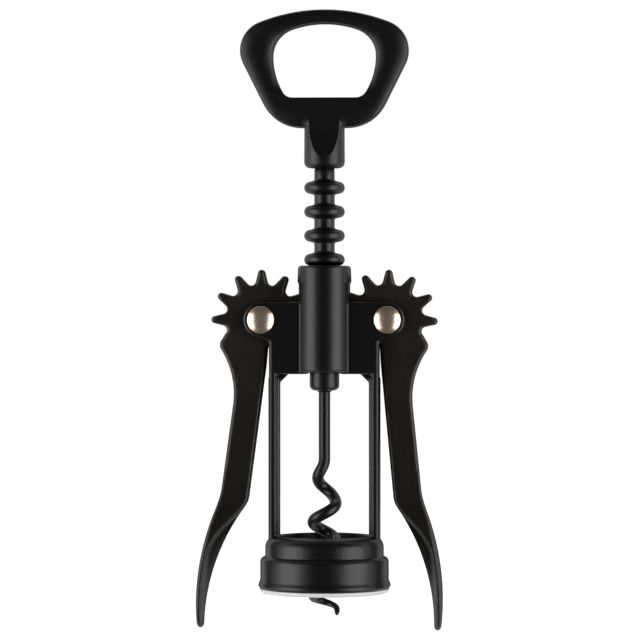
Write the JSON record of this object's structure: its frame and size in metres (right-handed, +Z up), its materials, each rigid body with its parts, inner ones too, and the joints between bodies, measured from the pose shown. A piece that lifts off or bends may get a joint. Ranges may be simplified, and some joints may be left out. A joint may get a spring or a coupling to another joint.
{
  "type": "wing corkscrew",
  "caption": "Wing corkscrew with geared side levers, a ringed rack that carries a spinning worm, a bell that seats on the bottle, and a loop handle that lifts crown caps.",
  "frame": {"origin": "centre of the bell's mouth, on the plane of the liner's lip that sits on the bottle", "axes": "+Z up the spindle towards the handle, -Y towards the front, +X towards the right-hand lever seen from the front"},
  "size_m": [0.0741, 0.0398, 0.1859],
  "materials": {
    "satin_black_casting": "satin black lacquer on die-cast zinc",
    "coated_worm_wire": "smooth black non-stick coating on steel wire",
    "white_liner_plastic": "smooth, slightly milky white",
    "polished_nickel": "polished nickel plate"
  },
  "bodies": {
    "frame": {"frame": "satin_black_casting", "bell_liner": "white_liner_plastic", "left_rivet_stud": "polished_nickel", "left_rivet_sleeve": "polished_nickel", "right_rivet_stud": "polished_nickel", "right_rivet_sleeve": "polished_nickel"},
    "left_lever": {"left_lever": "satin_black_casting"},
    "right_lever": {"right_lever": "satin_black_casting"},
    "rack": {"rack_sleeve": "satin_black_casting"},
    "screw": {"handle": "satin_black_casting", "worm": "coated_worm_wire", "worm_collar": "satin_black_casting"}
  },
  "joints": [
    {"name": "left_lever_hinge", "type": "hinge", "parent": "frame", "child": "left_lever", "pos_m": [-0.0189, 0, 0.0817], "axis": [0, 1, 0], "range_deg": [0, 120]},
    {"name": "right_lever_hinge", "type": "hinge", "parent": "frame", "child": "right_lever", "pos_m": [0.0189, 0, 0.0817], "axis": [0, -1, 0], "range_deg": [0, 120]},
    {"name": "rack_slide", "type": "slide", "parent": "frame", "child": "rack", "axis": [0, 0, -1], "range_m": [0, 0.02885]},
    {"name": "screw_spin", "type": "hinge", "parent": "rack", "child": "screw", "pos_m": [0, 0, 0.1], "axis": [0, 0, 1], "continuous": true}
  ],
  "couplings": [
    {"joint": "right_lever_hinge", "follows": "left_lever_hinge", "ratio": 1},
    {"joint": "rack_slide", "follows": "left_lever_hinge", "m_per_rad": 0.013751}
  ]
}
